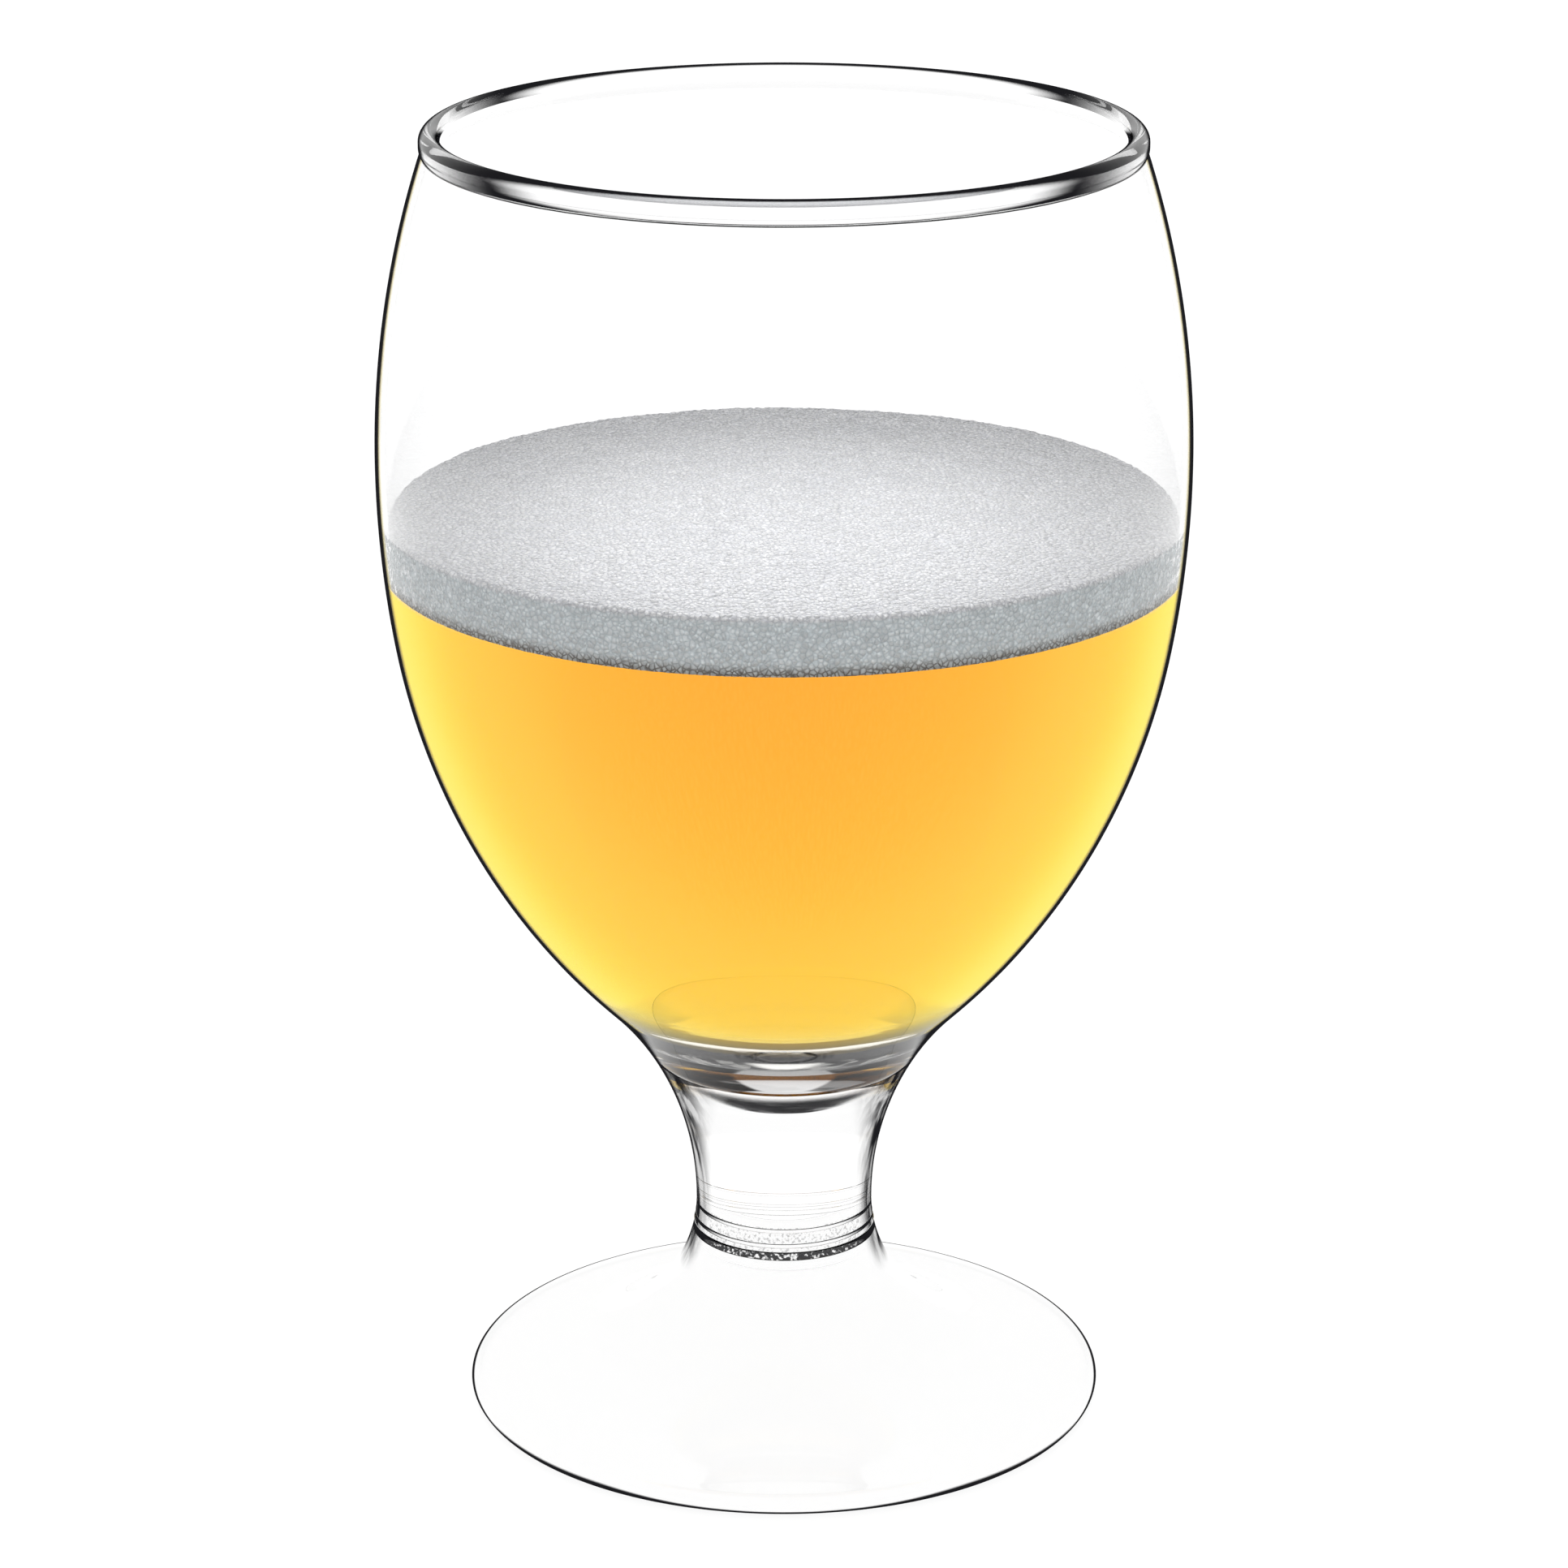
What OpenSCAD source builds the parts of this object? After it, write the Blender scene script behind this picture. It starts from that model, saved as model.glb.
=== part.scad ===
// Footed beer goblet, filled, in millimetres. +Z is the axis of the glass and z = 0 is the table.
// The glass is three pieces turned about that axis: a blown bowl whose rounded base sits in the
// cup of a solid stem, and a trumpet foot under the stem. Beer and a head of foam fill the bowl.

/* [Bowl] */
// Height of the rim above the table
overall_h = 150; // [138:0.5:165]
// Outside diameter of the beaded rim
rim_d = 80; // [74:0.5:86]
// Outside diameter of the bowl at its widest
belly_d = 91.2; // [89:0.2:98]
// Height of the widest place
belly_h = 112.5; // [108:0.5:120]
// Radius of the wall's curve from the widest place down
side_r = 120; // [100:1:160]
// Height at which that curve turns into the rounder lower bowl
side_end_h = 92; // [86:0.5:98]
// Radius of the lower bowl's curve
lower_r = 78.5; // [74:0.5:84]
// Thickness of the blown wall
wall = 1.1; // [0.9:0.1:2.2]
// Thickness of the fire-polished bead round the rim
bead_w = 2.4; // [2.2:0.1:3.4]
// Height of the bead
bead_h = 3; // [2.6:0.1:6]
// Height of the inside floor
floor_h = 47; // [44:0.5:56]
// Radius of the round that turns the inside floor up into the wall
floor_fillet = 20; // [4:0.5:24]

/* [Stem] */
// Diameter at the narrowest place, where stem and foot are joined
waist_d = 20.5; // [14:0.5:24]
// Height of the narrowest place
waist_h = 23.5; // [22:0.5:26]
// Height of the line where the bowl leaves the stem's cup
seat_h = 42; // [36:0.5:46]
// Depth of the cup that holds the bowl's rounded base
seat_depth = 3.5; // [2:0.5:7]

/* [Foot] */
// Diameter of the foot
foot_d = 74; // [68:0.5:86]
// Thickness of the foot's rounded edge
foot_edge_t = 2.4; // [1.6:0.1:3.6]
// Radius of the trumpet where it leaves the stem
trumpet_r = 17.5; // [10:0.5:18]
// Diameter of the shallow hollow under the foot
hollow_d = 58; // [40:1:60]
// Depth of that hollow
hollow_depth = 1.8; // [0.8:0.1:3]

/* [Drink] */
// Height of the beer's surface under the foam
beer_h = 101; // [70:0.5:104]
// Thickness of the head of foam
foam_t = 6.5; // [4:0.5:16]
// Radius of the foam's shoulder at the wall
foam_shoulder = 0.8; // [0.5:0.1:3]

/* [Hidden] */
$fn = 192;

rim_r = rim_d / 2;
belly_r = belly_d / 2;
waist_r = waist_d / 2;

// Arcs that touch are drawn past each other by lap and stand blend proud, so they cross with no step
lap = 3;
blend = 0.002;

// Each arc is [centre's radius, centre's height, radius]
function bulge_r(arc, h) = arc[0] + sqrt(arc[2] ^ 2 - (h - arc[1]) ^ 2);
function waisted_r(arc, h) = arc[0] - sqrt(arc[2] ^ 2 - (h - arc[1]) ^ 2);
function grown(arc, t) = [arc[0], arc[1], arc[2] + t];
// Radius of a sphere from the radius and depth of one cap of it
function cap_radius(r, depth) = (r ^ 2 + depth ^ 2) / (2 * depth);

// The upper wall is upright at its widest and reaches the rim's full width at the bead's lower end
bead_foot_h = overall_h - bead_h;
bead_turn_h = bead_foot_h + bead_w / 2;
upper_r = cap_radius(bead_foot_h - belly_h, belly_r - rim_r);
upper_arc = [belly_r - upper_r, belly_h, upper_r];

// Side and lower bowl run on from it, each touching the one before
side_arc = [belly_r - side_r, belly_h, side_r];
side_turn = asin((belly_h - side_end_h) / side_r);
lower_arc = [
    side_arc[0] + (side_r - lower_r) * cos(side_turn),
    side_arc[1] - (side_r - lower_r) * sin(side_turn),
    lower_r
];

// The stem's flare is upright at the waist and touches the lower bowl from outside
flare_reach = waist_r - lower_arc[0];
flare_drop = lower_arc[1] - waist_h;
flare_r = (flare_reach ^ 2 + flare_drop ^ 2 - lower_r ^ 2) / (2 * (lower_r - flare_reach));
flare_arc = [waist_r + flare_r, waist_h, flare_r];
flare_top_h = lower_arc[1] - flare_drop * lower_r / (lower_r + flare_r);

// The bowl's base is a cap of a sphere, and the stem's cup is the same cap
seat_r = seat_h < flare_top_h ? waisted_r(flare_arc, seat_h) : bulge_r(lower_arc, seat_h);
seat_ball_r = cap_radius(seat_r + blend, seat_depth);
seat_tip_h = seat_h - seat_depth;

// The fillet round the floor touches the floor and the inside of the lower bowl
inner_lower = grown(lower_arc, -wall);
fillet_h = floor_h + floor_fillet;
fillet_arc = [bulge_r(grown(inner_lower, -floor_fillet), fillet_h), fillet_h, floor_fillet];
fillet_top_h = fillet_h + floor_fillet * (fillet_h - inner_lower[1]) / (inner_lower[2] - floor_fillet);

// The trumpet is upright at the waist, and its second arc lies flat where the foot's edge begins
edge_r = foot_edge_t / 2;
foot_flat_r = foot_d / 2 - edge_r;
trumpet_arc = [waist_r + trumpet_r, waist_h, trumpet_r];
spread_reach = foot_flat_r - trumpet_arc[0];
spread_drop = waist_h - foot_edge_t;
spread_r = (spread_reach ^ 2 + spread_drop ^ 2 - trumpet_r ^ 2) / (2 * (spread_drop - trumpet_r));
spread_arc = [foot_flat_r, foot_edge_t + spread_r - blend, spread_r - blend];
spread_top_h = waist_h - trumpet_r * (spread_arc[1] - waist_h) / (spread_r - trumpet_r);

// Under the foot, a dome of a large sphere leaves a flat ring to stand on
hollow_ball_r = cap_radius(hollow_d / 2, hollow_depth);

foam_top_h = beer_h + foam_t;
foam_turn_h = foam_top_h - foam_shoulder;

// Wider than any profile, for shapes that are then cut to their arcs
reach = foot_d + belly_d;

module turned() {
    rotate_extrude() children();
}

// The half profile from the axis out to r, between two heights
module slab(low, high, r = reach) {
    translate([0, low]) square([r, high - low]);
}

module disc(arc) {
    translate([arc[0], arc[1]]) circle(arc[2]);
}

module bulging(arc, low, high) {
    intersection() {
        disc(arc);
        slab(low, high);
    }
}

module waisted(arc, low, high) {
    difference() {
        slab(low, high, arc[0]);
        disc(arc);
    }
}

// The bowl's three curves, set in by t from the outside, between two heights
module bowl_curves(t, low, high) {
    bulging(grown(upper_arc, blend - t), belly_h - lap, high);
    bulging(grown(side_arc, -t), side_end_h, belly_h);
    bulging(grown(lower_arc, blend - t), low, side_end_h + lap);
}

// Outside of bowl and stem together, from the waist up into the bead
module glass_outside() {
    bowl_curves(0, flare_top_h - lap, bead_turn_h);
    waisted(flare_arc, waist_h, flare_top_h);
}

// What lies above the seat belongs to the bowl, and what lies below it to the stem
module above_seat() {
    disc([0, seat_tip_h + seat_ball_r, seat_ball_r]);
    slab(seat_h, overall_h);
}

// Inside of the bowl, from its floor to above the rim
module cavity() {
    bowl_curves(wall, fillet_top_h, overall_h);
    bulging(grown(fillet_arc, 2 * blend), floor_h, fillet_h);
    slab(floor_h, fillet_top_h, fillet_arc[0]);
}

module rim_bead() {
    bead_r = bead_w / 2;
    bead_c = rim_r - bead_r;
    crest_h = overall_h - bead_r;
    disc([bead_c, bead_turn_h, bead_r]);
    disc([bead_c, crest_h, bead_r]);
    translate([rim_r - bead_w, bead_turn_h]) square([bead_w, crest_h - bead_turn_h]);
}

module bowl() {
    color([0.88, 0.94, 0.96, 0.4]) turned() {
        difference() {
            intersection() {
                glass_outside();
                above_seat();
            }
            cavity();
        }
        rim_bead();
    }
}

module stem() {
    color([0.85, 0.92, 0.95, 0.5]) turned() difference() {
        glass_outside();
        above_seat();
    }
}

module foot() {
    color([0.86, 0.93, 0.95, 0.45]) turned() difference() {
        union() {
            waisted(trumpet_arc, spread_top_h, waist_h);
            waisted(spread_arc, 0, min(spread_top_h + lap, waist_h));
            translate([foot_flat_r, 0]) intersection() {
                disc([0, edge_r, edge_r]);
                slab(0, foot_edge_t);
            }
        }
        disc([0, hollow_depth - hollow_ball_r, hollow_ball_r]);
    }
}

module beer() {
    color([0.99, 0.72, 0.2, 0.9]) turned() intersection() {
        cavity();
        slab(floor_h, beer_h);
    }
}

module foam_head() {
    shoulder_r = bulge_r(grown(side_arc, -wall), foam_turn_h) - foam_shoulder;
    color([0.92, 0.93, 0.95]) turned() intersection() {
        cavity();
        union() {
            slab(beer_h, foam_turn_h);
            slab(foam_turn_h, foam_top_h, shoulder_r);
            bulging([shoulder_r, foam_turn_h, foam_shoulder], foam_turn_h, foam_top_h);
        }
    }
}

bowl();
stem();
foot();
beer();
foam_head();
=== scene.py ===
import math
import bmesh
import bpy
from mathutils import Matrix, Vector, noise


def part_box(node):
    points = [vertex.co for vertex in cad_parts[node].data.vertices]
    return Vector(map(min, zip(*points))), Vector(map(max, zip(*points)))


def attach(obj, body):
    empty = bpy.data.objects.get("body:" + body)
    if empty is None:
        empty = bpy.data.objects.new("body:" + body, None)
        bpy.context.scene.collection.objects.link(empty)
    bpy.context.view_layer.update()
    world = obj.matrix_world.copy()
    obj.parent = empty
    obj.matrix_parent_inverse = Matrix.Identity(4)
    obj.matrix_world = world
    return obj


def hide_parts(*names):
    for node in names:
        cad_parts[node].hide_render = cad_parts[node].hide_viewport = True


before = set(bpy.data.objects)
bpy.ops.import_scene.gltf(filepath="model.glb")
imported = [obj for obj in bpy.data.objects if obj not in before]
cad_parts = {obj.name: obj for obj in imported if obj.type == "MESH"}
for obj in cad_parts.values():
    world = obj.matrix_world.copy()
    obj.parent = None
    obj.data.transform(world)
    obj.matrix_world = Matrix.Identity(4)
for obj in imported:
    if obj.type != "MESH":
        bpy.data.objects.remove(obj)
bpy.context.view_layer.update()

# Sizes in millimetres, the same as the solids'. Each arc is (centre's radius, centre's height, radius)
MM = 0.001


def height_of(node, top):
    """Height of a solid's lowest or highest place, in millimetres."""
    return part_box(node)[1 if top else 0].z / MM


def radius_of(node):
    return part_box(node)[1].x / MM


RIM_H = height_of("bowl", True)
SEAT_TIP_H = height_of("bowl", False)
BELLY_R = radius_of("bowl")
WAIST_H = height_of("foot", True)
FOOT_R = radius_of("foot")
FLOOR_H = height_of("beer", False)
BEER_H = height_of("beer", True)
FOAM_TOP_H = height_of("foam_head", True)

WALL = 1.1
RIM_R = 40.0
BEAD_W = 2.4
BEAD_H = 3.0
BELLY_H = 112.5
SIDE_R = 120.0
SIDE_END_H = 92.0
LOWER_R = 78.5
FLOOR_FILLET = 20.0
WAIST_R = 10.25
SEAT_H = 42.0
FOOT_EDGE_T = 2.4
TRUMPET_R = 17.5
HOLLOW_R = 29.0
HOLLOW_DEPTH = 1.8
FOAM_SHOULDER = 0.8


def grown(arc, t):
    """An arc about the same centre, with a radius larger by t."""
    return (arc[0], arc[1], arc[2] + t)


def bulge_r(arc, h):
    """Distance from the axis to an arc's outer side, at a height."""
    return arc[0] + math.sqrt(arc[2] ** 2 - (h - arc[1]) ** 2)


def waisted_r(arc, h):
    """Distance from the axis to an arc's inner side, at a height."""
    return arc[0] - math.sqrt(arc[2] ** 2 - (h - arc[1]) ** 2)


def cap_radius(r, depth):
    """Radius of a sphere from the radius and depth of one cap of it."""
    return (r ** 2 + depth ** 2) / (2 * depth)


BEAD_FOOT_H = RIM_H - BEAD_H
UPPER_R = cap_radius(BEAD_FOOT_H - BELLY_H, BELLY_R - RIM_R)
UPPER = (BELLY_R - UPPER_R, BELLY_H, UPPER_R)
SIDE = (BELLY_R - SIDE_R, BELLY_H, SIDE_R)
SIDE_TURN = math.asin((BELLY_H - SIDE_END_H) / SIDE_R)
LOWER = (
    SIDE[0] + (SIDE_R - LOWER_R) * math.cos(SIDE_TURN),
    SIDE[1] - (SIDE_R - LOWER_R) * math.sin(SIDE_TURN),
    LOWER_R,
)
FLARE_REACH = WAIST_R - LOWER[0]
FLARE_DROP = LOWER[1] - WAIST_H
FLARE_R = (FLARE_REACH ** 2 + FLARE_DROP ** 2 - LOWER_R ** 2) / (2 * (LOWER_R - FLARE_REACH))
FLARE = (WAIST_R + FLARE_R, WAIST_H, FLARE_R)
FLARE_TOP_H = LOWER[1] - FLARE_DROP * LOWER_R / (LOWER_R + FLARE_R)
SEAT_R = waisted_r(FLARE, SEAT_H)
SEAT_BALL = cap_radius(SEAT_R, SEAT_H - SEAT_TIP_H)
EDGE_R = FOOT_EDGE_T / 2
FOOT_FLAT_R = FOOT_R - EDGE_R
TRUMPET = (WAIST_R + TRUMPET_R, WAIST_H, TRUMPET_R)
SPREAD_REACH = FOOT_FLAT_R - TRUMPET[0]
SPREAD_DROP = WAIST_H - FOOT_EDGE_T
SPREAD_R = (SPREAD_REACH ** 2 + SPREAD_DROP ** 2 - TRUMPET_R ** 2) / (2 * (SPREAD_DROP - TRUMPET_R))
SPREAD = (FOOT_FLAT_R, FOOT_EDGE_T + SPREAD_R, SPREAD_R)
SPREAD_TOP_H = WAIST_H - TRUMPET_R * (SPREAD[1] - WAIST_H) / (SPREAD_R - TRUMPET_R)
HOLLOW_BALL = cap_radius(HOLLOW_R, HOLLOW_DEPTH)

# Profiles: points of (radius, height)
CHORD_GAP = 0.003
QUARTER = math.pi / 2


def sweep(centre, radius, start, end):
    """Points round a circle in the half profile, from one angle to another."""
    step = 2 * math.acos(1 - CHORD_GAP / radius)
    count = max(2, math.ceil(abs(end - start) / step))
    angles = [start + (end - start) * i / count for i in range(count + 1)]
    return [(centre[0] + radius * math.cos(a), centre[1] + radius * math.sin(a)) for a in angles]


def bulging(arc, low, high):
    """Points up the outer side of an arc, between two heights."""
    turn = [math.asin((h - arc[1]) / arc[2]) for h in (low, high)]
    return sweep(arc, arc[2], *turn)


def waisted(arc, low, high):
    """Points up the inner side of an arc, between two heights."""
    turn = [math.pi - math.asin((h - arc[1]) / arc[2]) for h in (low, high)]
    return sweep(arc, arc[2], *turn)


def level(r_from, r_to, h, count=6):
    """Points along a level line, from one radius to another."""
    return [(r_from + (r_to - r_from) * i / count, h) for i in range(count + 1)]


def bowl_wall(inset, low, high):
    """Points up the bowl's three curves between two heights, set in from the outside."""
    points = []
    for arc, start, end in ((LOWER, low, SIDE_END_H), (SIDE, SIDE_END_H, BELLY_H), (UPPER, BELLY_H, high)):
        start, end = max(start, low), min(end, high)
        if start < end:
            points += bulging(grown(arc, -inset), start, end)
    return points


# Meshes
ROUND = 256
SHARP = math.radians(35)
SAME_PLACE = 1e-6


def piece_of(name, mesh, materials):
    """A piece made of a mesh, smooth but for its sharp edges, that rides on the one body."""
    mesh.set_sharp_from_angle(angle=SHARP)
    for material in materials:
        mesh.materials.append(material)
    piece = bpy.data.objects.new(name, mesh)
    bpy.context.collection.objects.link(piece)
    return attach(piece, "root")


def lathe(name, runs):
    """A closed piece turned about Z. runs holds (material, points), from the axis round to the axis."""
    materials = list(dict.fromkeys(material for material, points in runs))
    profile, numbers = [], []
    for material, points in runs:
        for p in points:
            if profile and math.dist(p, profile[-1]) < SAME_PLACE:
                continue
            if profile:
                numbers.append(materials.index(material))
            profile.append(p)
    turns = [2 * math.pi * i / ROUND for i in range(ROUND)]
    bm = bmesh.new()
    rings = []
    for r, h in profile:
        if r < SAME_PLACE:
            rings.append([bm.verts.new((0, 0, h * MM))])
        else:
            rings.append([bm.verts.new((r * MM * math.cos(t), r * MM * math.sin(t), h * MM)) for t in turns])
    for number, a, b in zip(numbers, rings, rings[1:]):
        for i in range(ROUND):
            j = (i + 1) % ROUND
            corners = [a[i % len(a)], a[j % len(a)], b[j % len(b)], b[i % len(b)]]
            face = bm.faces.new(dict.fromkeys(corners))
            face.material_index = number
            face.smooth = True
    bmesh.ops.recalc_face_normals(bm, faces=bm.faces)
    mesh = bpy.data.meshes.new(name)
    bm.to_mesh(mesh)
    bm.free()
    return piece_of(name, mesh, materials)


# Shader nodes
class Shader:
    """A node tree that is built by calls. Each call gives back an output of the node it adds."""

    def __init__(self, owner):
        owner.use_nodes = True
        self.tree = owner.node_tree
        self.tree.nodes.clear()

    def add(self, kind, choices=None, output=0, **inputs):
        """A new node. choices are its settings. inputs are values or outputs, by socket name or _number."""
        made = self.tree.nodes.new("ShaderNode" + kind)
        for name, value in (choices or {}).items():
            setattr(made, name, value)
        for name, value in inputs.items():
            socket = made.inputs[int(name[1:]) if name[1:].isdigit() else name.replace("_", " ")]
            if isinstance(value, bpy.types.NodeSocket):
                self.tree.links.new(value, socket)
            else:
                socket.default_value = value
        return made.outputs[output] if made.outputs else made

    def math(self, operation, a, b=0.0, c=0.0):
        return self.add("Math", {"operation": operation}, _0=a, _1=b, _2=c)

    def times(self, a, b):
        return self.math("MULTIPLY", a, b)

    def most(self, a, b):
        return self.math("MAXIMUM", a, b)

    def rest_of(self, share):
        return self.math("SUBTRACT", 1.0, share)

    def ramp(self, value, start, end, low=0.0, high=1.0):
        """A smooth step from low to high as value goes from start to end."""
        choices = {"interpolation_type": "SMOOTHSTEP"}
        return self.add("MapRange", choices, Value=value, _1=start, _2=end, _3=low, _4=high)

    def mix(self, factor, a, b):
        """A mix of two numbers."""
        return self.add("Mix", {"data_type": "FLOAT"}, _0=factor, _2=a, _3=b)

    def blend(self, factor, a, b):
        """A mix of two colours."""
        return self.add("Mix", {"data_type": "RGBA"}, 2, _0=factor, _6=a, _7=b)


def material_of(name):
    material = bpy.data.materials.new(name)
    return material, Shader(material)


def place_in(s):
    """The shaded place on the object, in metres."""
    return s.add("TexCoord", output="Object")


def height_in(s, place):
    return s.add("SeparateXYZ", output="Z", Vector=place)


def above(s, place, low, high):
    """A step from 0 at one height to 1 at another, in millimetres."""
    return s.ramp(height_in(s, place), low * MM, high * MM)


def noise_in(s, place, scale, detail=2, stretch=(1, 1, 1)):
    stretched = s.add("Mapping", Vector=place, Scale=stretch)
    return s.add("TexNoise", Vector=stretched, Scale=scale, Detail=detail)


def grey(value):
    return (value, value, value, 1)


# Glass: clear, with the faint waves of hot-worked glass. Seen edge on, a share of its face gets a painted
# dark reflection, which draws its dark outlines and shade.
# Each pair of numbers is where a step starts and ends, as a facing, a height in millimetres or a noise's
# value. A facing is 0 where a direction points at the eye and 1 where it lies across the line of sight
GLASS_IOR = 1.5
UNBENT_IOR = 1.0
WAVE_SCALE = 90
WAVE_HEIGHT = 0.02 * MM
DRAWN = (1, 1, 0.12)
# Colour of the painted dark reflection, near black, that draws the dark outlines and shade on the glass
PAINTED_DARK_REFLECTION = (0.012, 0.012, 0.014, 1)
OUTLINE = (0.82, 0.88)
WET_GLOSS = 0.08
BASE_GLOSS = 0.15


def waves_in(s, place, stretch=(1, 1, 1)):
    """A normal with faint waves."""
    return s.add("Bump", Height=noise_in(s, place, WAVE_SCALE, stretch=stretch), Distance=WAVE_HEIGHT)


def clear_glass(s, normal, ior=GLASS_IOR, gloss=1.0):
    """Clear glass that keeps a share of its gloss."""
    inputs = {"Base_Color": grey(1), "Roughness": 0.0, "Transmission_Weight": 1.0}
    return s.add("BsdfPrincipled", IOR=ior, Specular_Tint=grey(gloss), Normal=normal, **inputs)


def facing_of(s, direction):
    return s.add("LayerWeight", output="Facing", Blend=0.5, Normal=direction)


def edge_on(s, direction, start, end):
    """A step from 0 to 1 as the facing of a normal, or of a spoke, goes from start to end."""
    return s.ramp(facing_of(s, direction), start, end)


def spoke_in(s, place):
    """The level direction from the axis out to a place. Edge on, it tells a ring's left and right ends."""
    flat = s.add("VectorMath", {"operation": "MULTIPLY"}, "Vector", _0=place, _1=(1, 1, 0))
    return s.add("VectorMath", {"operation": "NORMALIZE"}, "Vector", _0=flat)


def from_within(s):
    """1 on a face that is seen from inside the glass."""
    return s.add("NewGeometry", output="Backfacing")


def outside_only(s, share):
    return s.times(share, s.rest_of(from_within(s)))


def painted_reflection_share(s, share, shader, colour=PAINTED_DARK_REFLECTION):
    """Gives the material a shader of which a share is a painted reflection, near black by default or of
    another colour.
    """
    mirror = s.add("BsdfAnisotropic", Color=colour, Roughness=0.0)
    s.add("OutputMaterial", Surface=s.add("MixShader", _0=share, _1=shader, _2=mirror))


def plain_glass(name, ior=GLASS_IOR, gloss=1.0):
    material, s = material_of(name)
    normal = waves_in(s, place_in(s))
    s.add("OutputMaterial", Surface=clear_glass(s, normal, ior, gloss))
    return material


def fused_glass():
    """Glass melted to glass: light goes straight through."""
    material, s = material_of("fused_glass")
    s.add("OutputMaterial", Surface=s.add("BsdfTransparent"))
    return material


# Wall: a painted dark reflection draws a thin outline, and over the beer, where the wall slants from view,
# it has a painted golden reflection
PAINTED_AMBER_REFLECTION = (1, 0.56, 0.045, 1)
PAINTED_GOLD_REFLECTION = (1, 0.8, 0.13, 1)
GOLD_SHARE = 0.85
GOLD_EDGE = (0.25, 0.65)
AMBER_TO_GOLD = (0.4, 0.8)
GOLD_FOOT = (48, 56)
GOLD_TOP = (BEER_H - 0.6, BEER_H)


def wall_glass():
    material, s = material_of("wall_glass")
    place = place_in(s)
    normal = waves_in(s, place)
    line = edge_on(s, normal, *OUTLINE)
    filled = s.math("SUBTRACT", above(s, place, *GOLD_FOOT), above(s, place, *GOLD_TOP))
    # Over the beer, a painted amber to gold reflection where the wall slants from view
    painted_gold = s.times(filled, s.times(GOLD_SHARE, edge_on(s, normal, *GOLD_EDGE)))
    gloss = s.blend(edge_on(s, normal, *AMBER_TO_GOLD), PAINTED_AMBER_REFLECTION, PAINTED_GOLD_REFLECTION)
    share = outside_only(s, s.most(line, painted_gold))
    painted_reflection_share(s, share, clear_glass(s, normal), s.blend(line, gloss, PAINTED_DARK_REFLECTION))
    return material


# Thick base: seen from within the glass, its far side gets painted shade, a dark and mottled painted
# reflection, round a pale half disc where the painted shade thins, which has its straight side at the top.
# DISC_TURN is the facing of the spoke at the disc's two ends
MOTTLE_SCALE = 450
MOTTLE = (0.42, 0.54)
MOTTLE_LEAST = 0.72
BASE_FADE = (46.2, 47.6)
FAR_EDGE = (0.1, 0.16)
DISC_TOP_H = 47
DISC_H = 5
DISC_TURN = 0.0215
DISC_RIM = (0.85, 1.1)
DISC_SHADE = 0.25


def mottle_in(s, place):
    """Uneven patches, for the painted shade that is seen through the bowl's thick base."""
    return s.ramp(noise_in(s, place, MOTTLE_SCALE, detail=5), *MOTTLE, MOTTLE_LEAST, 1)


def base_glass():
    material, s = material_of("base_glass")
    place = place_in(s)
    normal = waves_in(s, place)
    drop = s.math("MULTIPLY_ADD", height_in(s, place), -1 / (DISC_H * MM), DISC_TOP_H / DISC_H)
    turned = facing_of(s, spoke_in(s, place))
    from_middle = s.math("MULTIPLY_ADD", turned, 1 / DISC_TURN, s.times(drop, drop))
    beside = s.ramp(from_middle, *DISC_RIM, DISC_SHADE, 1)
    dark = s.times(edge_on(s, normal, *FAR_EDGE), s.times(beside, mottle_in(s, place)))
    far = s.times(s.rest_of(above(s, place, *BASE_FADE)), from_within(s))
    line = outside_only(s, edge_on(s, normal, *OUTLINE))
    share = s.most(line, s.times(far, dark))
    painted_reflection_share(s, share, clear_glass(s, normal, gloss=BASE_GLOSS))
    return material


# Rounded floor: seen from within the glass it mirrors the stem, in a painted dark reflection. A thin painted
# dark line comes first, then a band of painted shade that is dark all round, and below the band the pale
# disc is left free
FLOOR_GLASS_H = 60
LINE_FADE = (51.8, 53.2)
LINE_START = (0.22, 0.23)
LINE_END = (0.27, 0.28)
BAND_START = (0.305, 0.32)
BAND_END = (0.44, 0.48)
BAND_SHARE = 0.97
DISC_SIDES = (0.035, 0.05)


def floor_glass():
    material, s = material_of("floor_glass")
    place = place_in(s)
    normal = waves_in(s, place)
    line = s.math("SUBTRACT", edge_on(s, normal, *LINE_START), edge_on(s, normal, *LINE_END))
    beside = s.times(edge_on(s, spoke_in(s, place), *DISC_SIDES), mottle_in(s, place))
    band = s.mix(edge_on(s, normal, *BAND_END), BAND_SHARE, beside)
    mirror = s.times(edge_on(s, normal, *BAND_START), band)
    inside = s.times(s.rest_of(above(s, place, *LINE_FADE)), from_within(s))
    share = s.times(s.most(line, mirror), inside)
    painted_reflection_share(s, share, clear_glass(s, normal, gloss=WET_GLOSS))
    return material


# Joint of bowl and stem: light goes straight through, but seen edge on it gets a painted dark reflection, a
# dark, streaked crescent
WELD_EDGE = (0.6, 0.7)
WELD_OUTLINE = (0.8, 0.95)
WELD_ENDS = (0.06, 0.16)
WELD_STREAK_SCALE = 420
WELD_STREAKS = (0.35, 0.6)
WELD_STREAK_LEAST = 0.75


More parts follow.
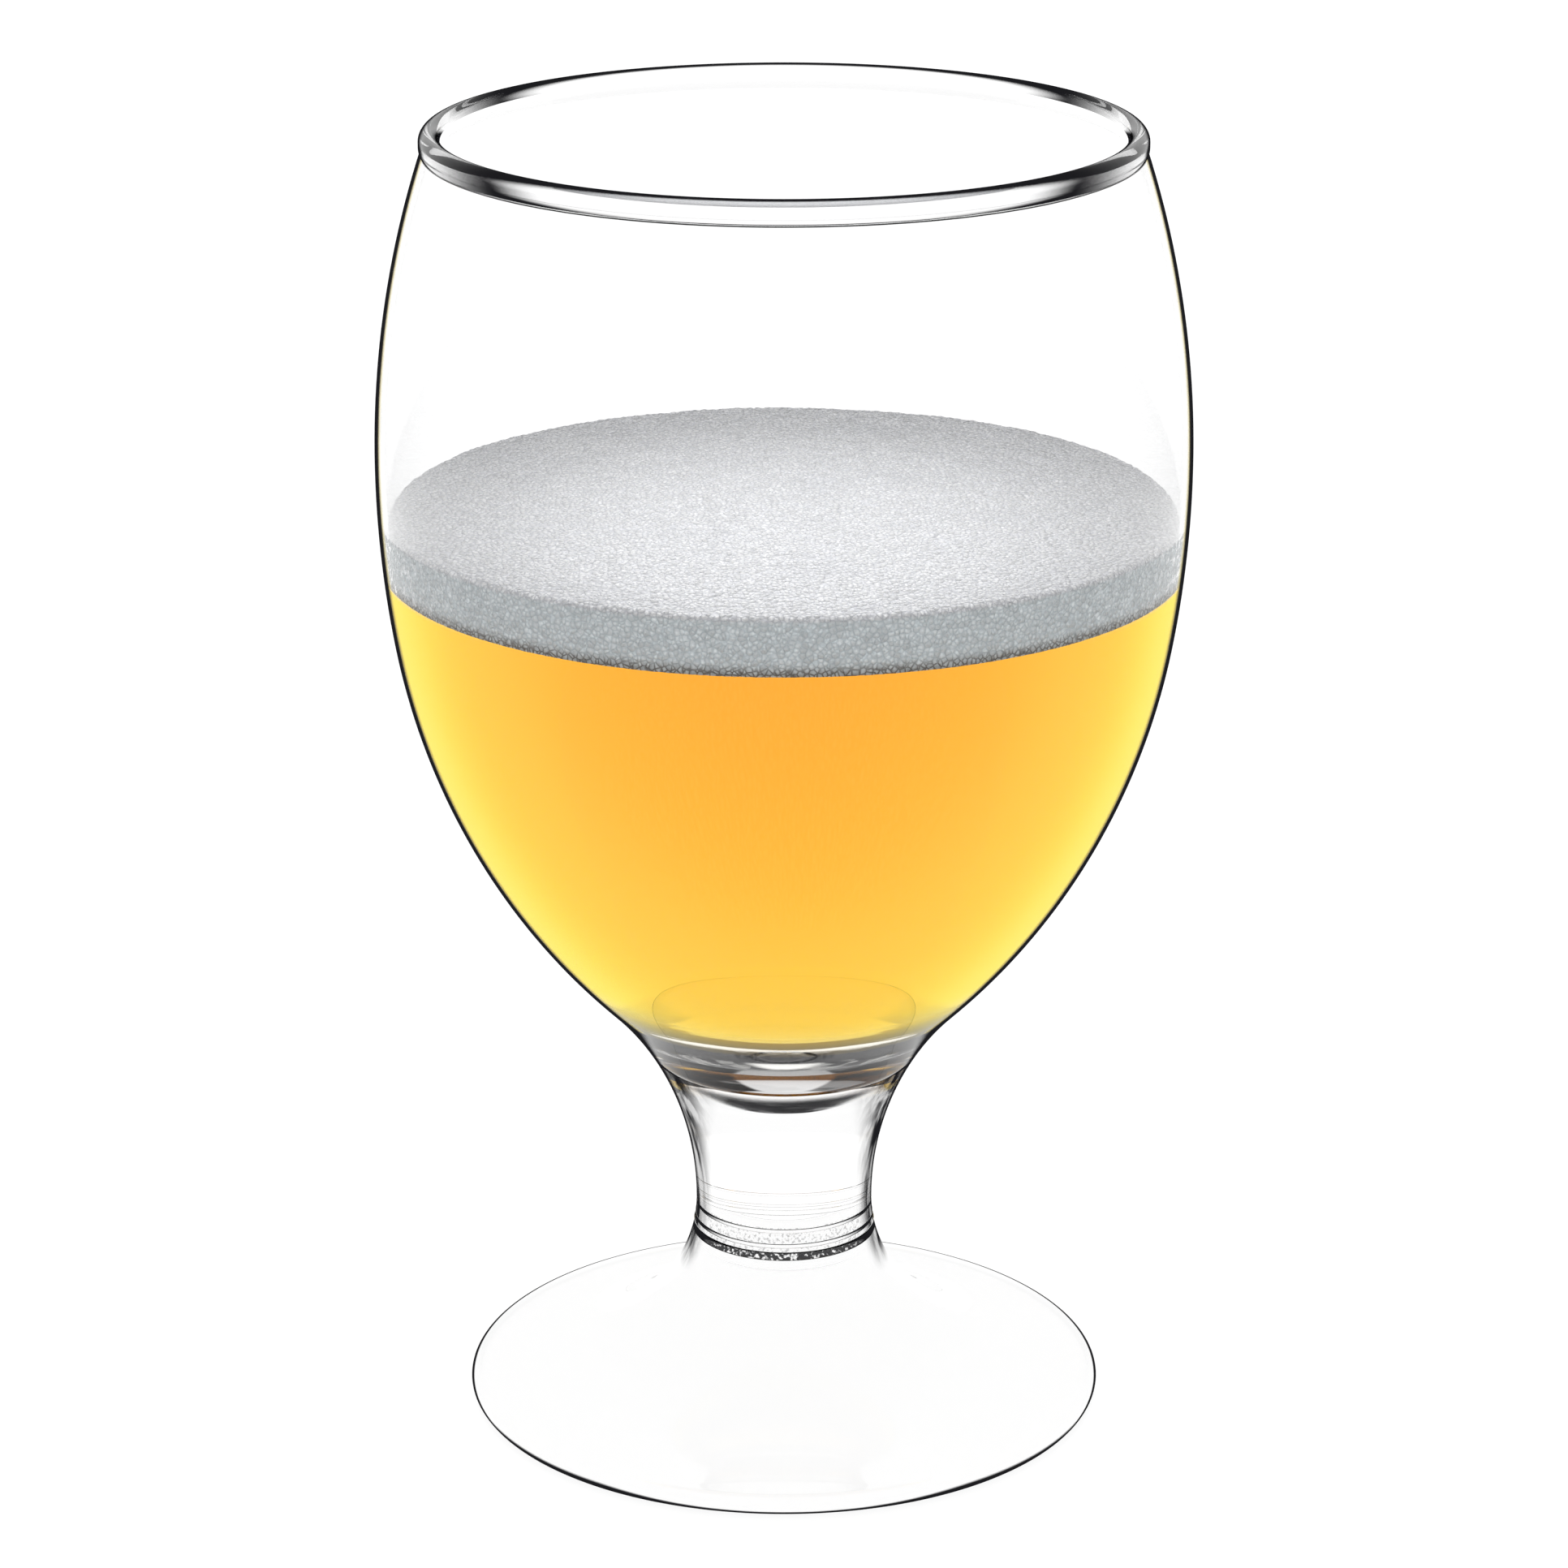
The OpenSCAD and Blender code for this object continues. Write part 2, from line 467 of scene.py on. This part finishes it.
def weld_glass():
    material, s = material_of("weld_glass")
    place = place_in(s)
    normal = s.add("NewGeometry", output="Normal")
    uneven = noise_in(s, place, WELD_STREAK_SCALE, 3, DRAWN)
    streaks = s.ramp(uneven, *WELD_STREAKS, WELD_STREAK_LEAST, 1)
    share = s.times(edge_on(s, normal, *WELD_EDGE), streaks)
    share = s.most(share, edge_on(s, normal, *WELD_OUTLINE))
    across = s.rest_of(edge_on(s, spoke_in(s, place), *WELD_ENDS))
    painted_reflection_share(s, s.times(share, across), s.add("BsdfTransparent"))
    return material


# Rim's bead: a painted dark reflection draws a thin dark outline all round, and a wider dark one where the
# ring is seen across
BEAD_EDGE = (0.25, 0.42)
BEAD_OUTLINE = (0.8, 0.88)
BEAD_ENDS = (0.4, 0.8)


def bead_glass():
    material, s = material_of("bead_glass")
    place = place_in(s)
    normal = waves_in(s, place)
    across = s.rest_of(edge_on(s, spoke_in(s, place), *BEAD_ENDS))
    line = s.times(edge_on(s, normal, *BEAD_EDGE), across)
    share = s.most(line, edge_on(s, normal, *BEAD_OUTLINE))
    painted_reflection_share(s, outside_only(s, share), clear_glass(s, normal))
    return material


# Foot's edge: a painted dark reflection draws a thin dark outline, and paints its lower side dark, thinning
# out toward the middle.
# EDGE_LINE_FADE is in shares of the painted dark side's height
EDGE_OUTLINE = (0.685, 0.74)
EDGE_LINE_H = 0.6
EDGE_LINE_FADE = (0.8, 1.1)
EDGE_ENDS = (0.06, 0.3)


def edge_glass():
    material, s = material_of("edge_glass")
    place = place_in(s)
    normal = waves_in(s, place)
    ends = edge_on(s, spoke_in(s, place), *EDGE_ENDS)
    top = s.math("MULTIPLY_ADD", ends, EDGE_LINE_H * MM, EDGE_LINE_H * MM)
    low = s.ramp(s.math("DIVIDE", height_in(s, place), top), *EDGE_LINE_FADE, 1, 0)
    share = s.most(low, edge_on(s, normal, *EDGE_OUTLINE))
    painted_reflection_share(s, outside_only(s, share), clear_glass(s, normal))
    return material


# Stem and trumpet: a painted dark reflection, streaked, toward their outline, with painted dark specks among
# the fine rings
DRAWN_EDGE = (0.46, 0.74)
DRAWN_OUTLINE = (0.75, 0.88)
STREAK_SCALE = 700
STREAKS = (0.35, 0.6)
STREAK_LEAST = 0.4
SPECK_SCALE = 3200
SPECKS = (0.5, 0.66)
SPECK_SHARE = 0.4
TRUMPET_FADE = (15, 18)


def drawn_glass(name, fade=None, speckle=0.0):
    """Drawn glass. fade is where its painted dark goes out, by height, and speckle is how dark its painted
    specks are.
    """
    material, s = material_of(name)
    place = place_in(s)
    normal = waves_in(s, place, DRAWN)
    streaks = s.ramp(noise_in(s, place, STREAK_SCALE, stretch=DRAWN), *STREAKS, STREAK_LEAST, 1)
    share = s.times(edge_on(s, normal, *DRAWN_EDGE), streaks)
    share = s.most(share, edge_on(s, normal, *DRAWN_OUTLINE))
    if fade:
        share = s.times(share, above(s, place, *fade))
    if speckle:
        share = s.most(share, s.ramp(noise_in(s, place, SPECK_SCALE), *SPECKS, 0, speckle))
    painted_reflection_share(s, outside_only(s, share), clear_glass(s, normal, gloss=BASE_GLOSS))
    return material


# Fine rings under the stem: a painted dark reflection where they slant, and the widest is dotted with it all
# over
RING_EDGE = (0.2, 0.45)
DOT_SCALE = 2600
DOTS = (0.32, 0.5)
DOT_SHARE = 0.95


def ring_glass(name, dots=0.0):
    material, s = material_of(name)
    place = place_in(s)
    normal = waves_in(s, place)
    dotted = s.ramp(noise_in(s, place, DOT_SCALE, detail=1), *DOTS, 0, dots)
    share = s.most(edge_on(s, normal, *RING_EDGE), dotted)
    painted_reflection_share(s, outside_only(s, share), clear_glass(s, normal))
    return material


WALL_GLASS = wall_glass()
BASE_GLASS = base_glass()
INNER_GLASS = plain_glass("inner_glass")
FLOOR_GLASS = floor_glass()
WET_GLASS = plain_glass("wet_glass", GLASS_IOR, WET_GLOSS)
BEAD_GLASS = bead_glass()
EDGE_GLASS = edge_glass()
STEM_GLASS = drawn_glass("stem_glass")
COLLAR_GLASS = drawn_glass("collar_glass", None, SPECK_SHARE)
RING_GLASS = ring_glass("ring_glass")
DOTTED_GLASS = ring_glass("dotted_glass", DOT_SHARE)
TRUMPET_GLASS = drawn_glass("trumpet_glass", TRUMPET_FADE)
UNDER_GLASS = plain_glass("underside_glass", UNBENT_IOR)
WELD = weld_glass()
FUSED = fused_glass()

# Bowl
inner_lower = grown(LOWER, -WALL)
fillet_h = FLOOR_H + FLOOR_FILLET
fillet = (bulge_r(grown(inner_lower, -FLOOR_FILLET), fillet_h), fillet_h)
fillet_turn = math.asin((fillet_h - inner_lower[1]) / (inner_lower[2] - FLOOR_FILLET))
fillet_top_h = fillet_h + FLOOR_FILLET * math.sin(fillet_turn)


def inside_points(top, skin=0.0):
    """Points from the floor's centre up the inside of the bowl, set out into the wall by skin."""
    floor = level(0, fillet[0], FLOOR_H - skin)
    corner = sweep(fillet, FLOOR_FILLET + skin, -QUARTER, fillet_turn)
    return floor + corner + bowl_wall(WALL - skin, fillet_top_h, top)


HALVINGS = 40
bead_r = BEAD_W / 2
bead_c = RIM_R - bead_r
bead_turn_h = BEAD_FOOT_H + bead_r
crest_h = RIM_H - bead_r


def meets_bead(arc):
    """Height at which an arc of the wall runs into the bead's lower round."""
    low, high = BEAD_FOOT_H - bead_r, bead_turn_h
    for _ in range(HALVINGS):
        h = (low + high) / 2
        inside = math.dist((bulge_r(arc, h), h), (bead_c, bead_turn_h)) < bead_r
        low, high = (low, h) if inside else (h, high)
    return low


def bead_turn(arc, h):
    """Angle round the bead's lower round, at which it leaves an arc of the wall."""
    return math.atan2(h - bead_turn_h, bulge_r(arc, h) - bead_c)


inner_upper = grown(UPPER, -WALL)
outer_meet = meets_bead(UPPER)
inner_meet = meets_bead(inner_upper)
inner_turn = bead_turn(inner_upper, inner_meet) % (2 * math.pi)
bead = sweep((bead_c, bead_turn_h), bead_r, bead_turn(UPPER, outer_meet), 0)
bead += sweep((bead_c, crest_h), bead_r, 0, math.pi)
bead_inside = sweep((bead_c, bead_turn_h), bead_r, math.pi, inner_turn)
seat_turn = math.asin(SEAT_R / SEAT_BALL)
seat_cap = sweep((0, SEAT_TIP_H + SEAT_BALL), SEAT_BALL, -QUARTER, seat_turn - QUARTER)
seat_cap[0] = (0, SEAT_TIP_H)
bowl_runs = [
    (WELD, seat_cap),
    (BASE_GLASS, waisted(FLARE, SEAT_H, FLARE_TOP_H)),
    (WALL_GLASS, bowl_wall(0, FLARE_TOP_H, outer_meet)),
    (BEAD_GLASS, bead),
    (INNER_GLASS, bead_inside + bowl_wall(WALL, FOAM_TOP_H, inner_meet)[::-1]),
    (WET_GLASS, bowl_wall(WALL, FLOOR_GLASS_H, FOAM_TOP_H)[::-1]),
    (FLOOR_GLASS, inside_points(FLOOR_GLASS_H)[::-1]),
]
bowl = lathe("bowl_glass", bowl_runs)
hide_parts("bowl")

# Stem: its cup lies a little below the bowl's cap, so that no two faces share a place
WELD_GAP = 0.02
cup = [(r, h - WELD_GAP if r < SEAT_R - WELD_GAP else h) for r, h in seat_cap]
stem_runs = [
    (FUSED, level(0, WAIST_R, WAIST_H)),
    (STEM_GLASS, waisted(FLARE, WAIST_H, SEAT_H)),
    (FUSED, cup[::-1]),
]
stem = lathe("stem_glass", stem_runs)
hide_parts("stem")

# Foot, with fine rings pressed into the trumpet's top: each is (height, half its width, depth, material)
RINGS = ((20.1, 0.5, 0.3, DOTTED_GLASS), (21.3, 0.25, 0.16, RING_GLASS), (23.1, 0.25, 0.16, RING_GLASS))


def ring_groove(h, half, depth):
    """Points up through a shallow round groove in the trumpet."""
    radius = cap_radius(half, depth)
    turn = math.asin(half / radius)
    centre = (waisted_r(TRUMPET, h) + radius - depth, h)
    return sweep(centre, radius, math.pi + turn, math.pi - turn)


edge = sweep((FOOT_FLAT_R, EDGE_R), EDGE_R, -QUARTER, QUARTER)
hollow_turn = math.asin(HOLLOW_R / HOLLOW_BALL)
hollow = sweep((0, HOLLOW_DEPTH - HOLLOW_BALL), HOLLOW_BALL, QUARTER, QUARTER - hollow_turn)
hollow[0] = (0, HOLLOW_DEPTH)
ring_feet = [h - half for h, half, depth, material in RINGS]
trumpet = waisted(SPREAD, FOOT_EDGE_T, SPREAD_TOP_H) + waisted(TRUMPET, SPREAD_TOP_H, ring_feet[0])
foot_runs = [
    (UNDER_GLASS, hollow + level(HOLLOW_R, FOOT_FLAT_R, 0, 2)),
    (EDGE_GLASS, edge),
    (TRUMPET_GLASS, trumpet),
]
for (h, half, depth, material), next_foot in zip(RINGS, ring_feet[1:] + [WAIST_H]):
    foot_runs.append((material, ring_groove(h, half, depth)))
    foot_runs.append((COLLAR_GLASS, waisted(TRUMPET, h + half, next_foot)))
foot_runs.append((FUSED, level(WAIST_R, 0, WAIST_H)))
foot = lathe("foot_glass", foot_runs)
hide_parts("foot")

# Beer: it wets the wall, so its skin lies just inside the glass. It bends light little, which leaves its
# margin pale
WET = 0.12
BEER_IOR = 1.08
BEER_TINT = (0.998, 0.886, 0, 1)
BEER_DEPTH = 98


def beer_material():
    material, s = material_of("golden_beer")
    inputs = {"Base_Color": grey(1), "Roughness": 0.0, "IOR": BEER_IOR, "Transmission_Weight": 1.0}
    tint = s.add("VolumeAbsorption", Color=BEER_TINT, Density=BEER_DEPTH)
    s.add("OutputMaterial", Surface=s.add("BsdfPrincipled", **inputs), Volume=tint)
    return material


beer_side = inside_points(BEER_H, WET)
beer = lathe("beer_fill", [(beer_material(), beer_side + level(beer_side[-1][0], 0, BEER_H))])
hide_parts("beer")

# Foam's finish: fine grains with pale crowns and painted shade in the creases among them, a bluer copy of
# its tints on the side against the wall as painted shade, and stained by the beer along its lower edge.
# CREASE is how far the painted crease shade reaches, in shares of a grain
GRAIN = 0.6
GRAIN_RELIEF = GRAIN * 1.2
CREASE = 0.22
TOP_TINT = (0.97, 0.972, 0.985, 1)
TOP_CREASE_SHADE_TINT = (0.7, 0.71, 0.75, 1)
SHADED_SIDE_TINT = (0.92, 0.97, 0.985, 1)
SHADED_SIDE_CREASE_TINT = (0.72, 0.79, 0.82, 1)
SIDE_TOP = (FOAM_TOP_H - 1.0, FOAM_TOP_H - 0.5)
STAIN_TINT = (0.1, 0.07, 0.04, 1)
STAIN_FADE = (BEER_H, BEER_H + 1.3)
STAIN_IN_GAPS = 0.9
STAIN_ON_CROWNS = 0.4
PATCH_SCALE = 130
PATCHES = (0.45, 0.75)
PATCH_SHADE = 0.25
DRYNESS = (0.3, 0.7)
ROUGHNESS = (0.45, 0.7)


def foam_material():
    material, s = material_of("beer_foam")
    place = place_in(s)
    scale = 1 / (GRAIN * MM)
    grains = s.add("TexVoronoi", {"feature": "F1"}, "Distance", Vector=place, Scale=scale)
    gaps = s.add("TexVoronoi", {"feature": "DISTANCE_TO_EDGE"}, "Distance", Vector=place, Scale=scale)
    patches = noise_in(s, place, PATCH_SCALE, detail=3)
    # The side against the wall takes a bluer copy of the top's tints: painted shade
    shaded_side = s.rest_of(above(s, place, *SIDE_TOP))
    crowns = s.blend(shaded_side, TOP_TINT, SHADED_SIDE_TINT)
    # Painted shade in the creases among the grains
    crease_shade = s.blend(shaded_side, TOP_CREASE_SHADE_TINT, SHADED_SIDE_CREASE_TINT)
    crown = s.ramp(gaps, 0, CREASE)
    colour = s.blend(crown, crease_shade, crowns)
    colour = s.blend(s.ramp(patches, *PATCHES, 0, PATCH_SHADE), colour, crease_shade)
    low = s.rest_of(above(s, place, *STAIN_FADE))
    stain = s.times(low, s.ramp(crown, 0, 1, STAIN_IN_GAPS, STAIN_ON_CROWNS))
    colour = s.blend(stain, colour, STAIN_TINT)
    normal = s.add("Bump", {"invert": True}, Height=grains, Distance=GRAIN_RELIEF * MM, Strength=1.0)
    roughness = s.ramp(patches, *DRYNESS, *ROUGHNESS)
    foam = s.add("BsdfPrincipled", Base_Color=colour, Roughness=roughness, Normal=normal)
    s.add("OutputMaterial", Surface=foam)
    return material


# Foam's shape: its solid's skin, sunk by gaps among bubbles and by swells, and dipped into the beer
FOAM_DIP = 0.3
FOAM_ROUND = 896
FOAM_PITCH = 0.34
WIDEST_PITCH = 0.43
BUBBLE = 0.9
BUBBLE_DEPTH = 0.16
SWELL = 9.0
SWELL_DEPTH = 0.25


def resampled(points, pitch):
    """The same line, with points about a pitch apart."""
    line = [points[0]]
    for a, b in zip(points, points[1:]):
        count = max(1, round(math.dist(a, b) / pitch))
        run, rise = b[0] - a[0], b[1] - a[1]
        line += [(a[0] + run * i / count, a[1] + rise * i / count) for i in range(1, count + 1)]
    return line


def bubble(place, size):
    """0 in the gaps among bubbles of about a size, to 1 on their crowns."""
    near, second = noise.voronoi(place / size)[0][:2]
    return 1 - (near / second) ** 2


def sunk(place, out):
    """A point of the foam's skin, sunk into it by the gaps among its bubbles and by its swells."""
    depth = BUBBLE_DEPTH * (1 - bubble(place, BUBBLE))
    depth += SWELL_DEPTH * out.z ** 2 * (noise.noise(place / SWELL) + 1) / 2
    return place - out * depth


def foam_rings(profile):
    """Rings of points round the skin, with fewer points where the ring is small."""
    rings = []
    for i, (r, h) in enumerate(profile):
        before, after = profile[max(i - 1, 0)], profile[min(i + 1, len(profile) - 1)]
        rise, run = after[1] - before[1], after[0] - before[0]
        length = math.hypot(rise, run)
        count = FOAM_ROUND
        while count % 2 == 0 and 4 * math.pi * r / count < WIDEST_PITCH:
            count //= 2
        ring = []
        for k in range(count):
            turn = Vector((math.cos(2 * math.pi * k / count), math.sin(2 * math.pi * k / count), 0))
            out = (turn * rise - Vector((0, 0, run))) / length
            ring.append(sunk(turn * r + Vector((0, 0, h)), out))
        rings.append(ring)
    return rings


def closed_mesh(name, rings, tip):
    """A mesh up through rings to a tip. Each ring has as many points as the one before, or half as many."""
    verts = [p * MM for ring in rings for p in ring] + [tip * MM]
    tip_number = len(verts) - 1
    numbers, first = [], 0
    for ring in rings:
        numbers.append(range(first, first + len(ring)))
        first += len(ring)
    faces = [numbers[0][::-1]]
    for a, b in zip(numbers, numbers[1:]):
        for i in range(len(b)):
            j = (i + 1) % len(b)
            if len(a) == len(b):
                faces.append((a[i], a[j], b[j], b[i]))
                continue
            middle, last = a[2 * i + 1], a[2 * j]
            faces += [(a[2 * i], middle, b[i]), (middle, b[j], b[i]), (middle, last, b[j])]
    end = numbers[-1]
    faces += [(end[i], end[(i + 1) % len(end)], tip_number) for i in range(len(end))]
    mesh = bpy.data.meshes.new(name)
    mesh.from_pydata(verts, [], faces)
    mesh.shade_smooth()
    return mesh


turn_h = FOAM_TOP_H - FOAM_SHOULDER
foam_side = bowl_wall(WALL - WET, BEER_H - FOAM_DIP, turn_h)
shoulder_c = foam_side[-1][0] - FOAM_SHOULDER
shoulder = sweep((shoulder_c, turn_h), FOAM_SHOULDER, 0, QUARTER)
foam_line = foam_side + shoulder + [(FOAM_PITCH, FOAM_TOP_H)]
foam_skin = foam_rings(resampled(foam_line, FOAM_PITCH))
foam_mesh = closed_mesh("foam_head_froth", foam_skin, Vector((0, 0, FOAM_TOP_H - BUBBLE_DEPTH)))
foam = piece_of("foam_head_froth", foam_mesh, [foam_material()])
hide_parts("foam_head")

# Floor: it glows white to the eye and through glass, with a share that takes light and so keeps the shadow.
# FLOOR_SIZE is in metres
FLOOR_SIZE = 12
FLOOR_GAP = 0.2
SHADOW_SHARE = 0.12
GLOW = 1.04
FLOOR_TINT = 0.9

bpy.ops.mesh.primitive_plane_add(size=FLOOR_SIZE, location=(0, 0, -FLOOR_GAP * MM))
floor = bpy.context.object
floor.name = "floor"
floor_material, s = material_of("floor")
white = s.add("Emission", Strength=GLOW)
shadowed = s.add("BsdfDiffuse", Color=grey(1))
glow = s.add("MixShader", _0=SHADOW_SHARE, _1=white, _2=shadowed)
plain = s.add("BsdfDiffuse", Color=grey(FLOOR_TINT))
lights = s.add("LightPath", output="Is Diffuse Ray")
s.add("OutputMaterial", Surface=s.add("MixShader", _0=lights, _1=glow, _2=plain))
floor.data.materials.append(floor_material)

# World: white to the eye and through glass, dark overhead for light that solid glass bends, and a soft
# fill for the rest, stronger from the front
DARK_FROM = math.sin(math.radians(30))
DARK_TO = math.sin(math.radians(40))
DARK = 0.02
BENT_ONCE = 2.5
UNSCATTERED = 0.5
FILL = 1.0
FILL_LEAN = 0.45

world = bpy.data.worlds.new("studio")
bpy.context.scene.world = world
s = Shader(world)
ray = s.add("LightPath").node.outputs
way = s.add("SeparateXYZ", Vector=s.add("TexCoord", output="Generated")).node.outputs
bent = s.times(s.math("LESS_THAN", ray["Ray Depth"], BENT_ONCE), ray["Is Transmission Ray"])
shade = s.times(s.ramp(way["Z"], DARK_FROM, DARK_TO, 0, 1 - DARK), bent)
seen = s.most(ray["Is Camera Ray"], s.most(ray["Is Glossy Ray"], ray["Is Transmission Ray"]))
seen = s.times(seen, s.math("LESS_THAN", ray["Diffuse Depth"], UNSCATTERED))
fill = s.math("MULTIPLY_ADD", way["Y"], -FILL * FILL_LEAN, FILL)
strength = s.mix(seen, fill, s.rest_of(shade))
s.add("OutputWorld", Surface=s.add("Background", Color=grey(1), Strength=strength))

# Lamp, in metres: a wide soft one above the glass and behind it
LAMP_PLACE = (-0.05, 1.06, 1.8)
LAMP_WIDTH = 1.6
LAMP_DEPTH = 2.0
LAMP_POWER = 34

lamp = bpy.data.objects.new("softbox", bpy.data.lights.new("softbox", "AREA"))
bpy.context.collection.objects.link(lamp)
lamp.location = LAMP_PLACE
lamp.rotation_euler = (Vector((0, 0, FOAM_TOP_H * MM)) - lamp.location).to_track_quat("-Z", "Y").to_euler()
lamp.data.shape = "RECTANGLE"
lamp.data.size = LAMP_WIDTH
lamp.data.size_y = LAMP_DEPTH
lamp.data.energy = LAMP_POWER
lamp.visible_camera = False
lamp.visible_glossy = False
lamp.visible_transmission = False

# Camera: its place is in millimetres, and it looks down by an angle in degrees
CAMERA_PLACE = (0, -538.22, 254.24)
CAMERA_DOWN = 18.4987
CAMERA_LENS = 114.14
CAMERA_SENSOR = 36

camera = bpy.data.objects.new("camera", bpy.data.cameras.new("camera"))
bpy.context.collection.objects.link(camera)
camera.location = Vector(CAMERA_PLACE) * MM
camera.rotation_euler = (math.radians(90 - CAMERA_DOWN), 0, 0)
camera.data.sensor_width = CAMERA_SENSOR
camera.data.lens = CAMERA_LENS
bpy.context.scene.camera = camera
bpy.context.scene.view_settings.view_transform = "Standard"
